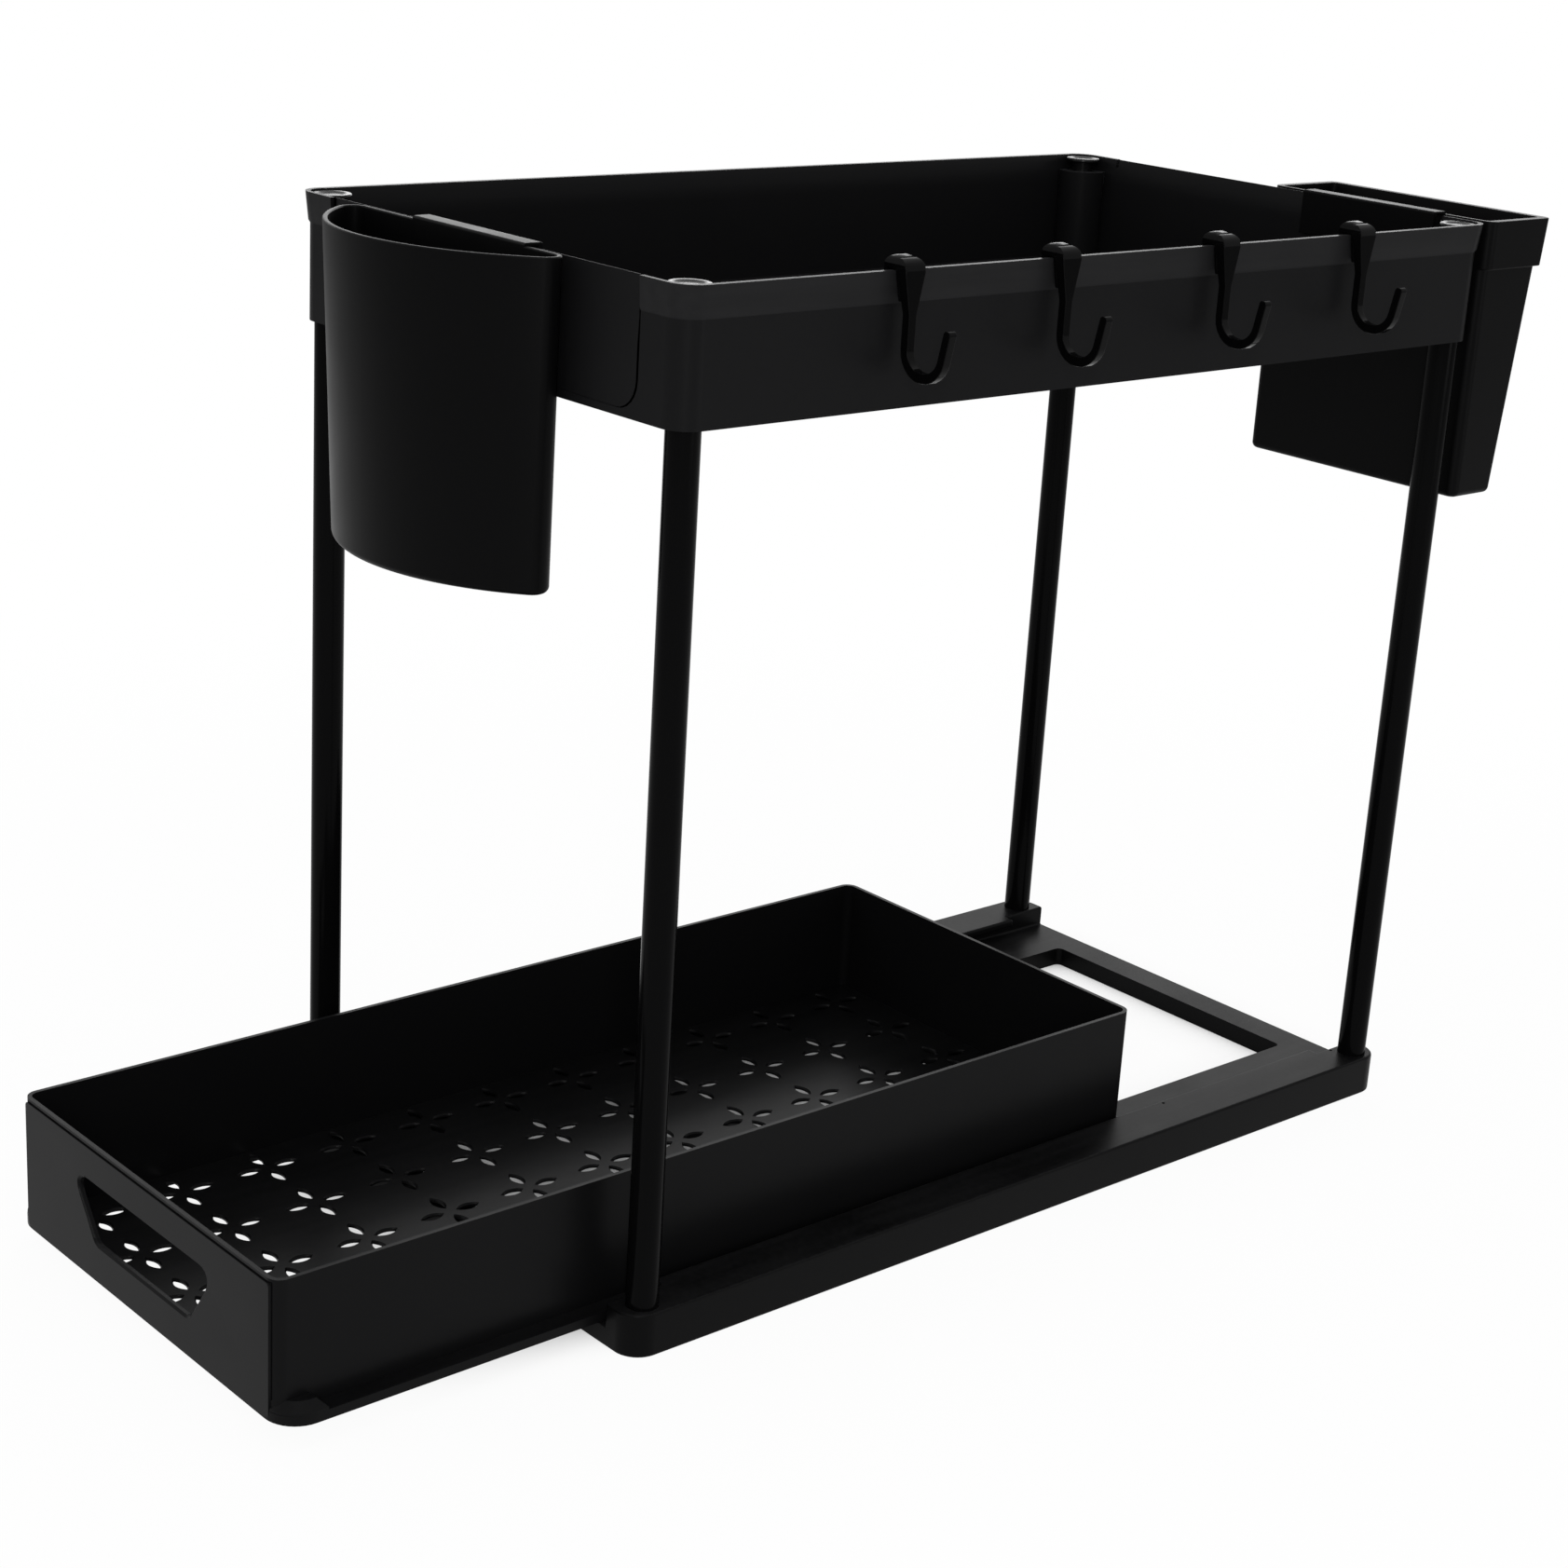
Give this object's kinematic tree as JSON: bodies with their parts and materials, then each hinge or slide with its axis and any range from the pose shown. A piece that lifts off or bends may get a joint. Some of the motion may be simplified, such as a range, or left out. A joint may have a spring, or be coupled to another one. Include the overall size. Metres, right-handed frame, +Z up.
{
  "type": "under sink organizer",
  "caption": "Tiered under sink organizer: a rimmed tray on round posts above a base frame with a sliding drawer, with hanging cups on its ends and clip-on hooks along its side.",
  "frame": {"origin": "middle of the underside of the base's front cross bar, on the surface it stands on", "axes": "+Z up; +Y from the drawer's pull end to the far end; +X towards the side with the hooks"},
  "size_m": [0.2442, 0.5685, 0.3717],
  "materials": {
    "frame_plastic": "satin black moulded plastic, scuffed on top of the rails",
    "tray_plastic": "satin black moulded plastic",
    "drawer_plastic": "satin black moulded plastic",
    "cup_plastic": "satin black moulded plastic",
    "cap_plastic": "satin black moulded plastic",
    "post_tube": "black powder-coated thin tube",
    "hook_plastic": "glossy black moulded plastic"
  },
  "bodies": {
    "frame": {"base_frame": "frame_plastic", "upper_tray": "tray_plastic", "post_front_left": "post_tube", "post_front_right": "post_tube", "post_back_left": "post_tube", "post_back_right": "post_tube", "cap_front_left": "cap_plastic", "cap_front_right": "cap_plastic", "cap_back_left": "cap_plastic", "cap_back_right": "cap_plastic"},
    "drawer": {"slide_drawer": "drawer_plastic"},
    "front_cup": {"front_cup": "cup_plastic"},
    "back_cup": {"back_cup": "cup_plastic"},
    "hook_1": {"hook_1": "hook_plastic"},
    "hook_2": {"hook_2": "hook_plastic"},
    "hook_3": {"hook_3": "hook_plastic"},
    "hook_4": {"hook_4": "hook_plastic"}
  },
  "joints": [
    {"name": "drawer_slide", "type": "slide", "parent": "frame", "child": "drawer", "axis": [0, -1, 0], "range_m": [-0.13, 0.11]},
    {"name": "front_cup_lift", "type": "slide", "parent": "frame", "child": "front_cup", "axis": [0, 0, 1], "range_m": [0, 0.03]},
    {"name": "back_cup_lift", "type": "slide", "parent": "frame", "child": "back_cup", "axis": [0, 0, 1], "range_m": [0, 0.03]},
    {"name": "hook_1_slide", "type": "slide", "parent": "frame", "child": "hook_1", "axis": [0, 1, 0], "range_m": [-0.066, 0.031]},
    {"name": "hook_2_slide", "type": "slide", "parent": "frame", "child": "hook_2", "axis": [0, 1, 0], "range_m": [-0.031, 0.035]},
    {"name": "hook_3_slide", "type": "slide", "parent": "frame", "child": "hook_3", "axis": [0, 1, 0], "range_m": [-0.035, 0.033]},
    {"name": "hook_4_slide", "type": "slide", "parent": "frame", "child": "hook_4", "axis": [0, 1, 0], "range_m": [-0.033, 0.059]}
  ]
}
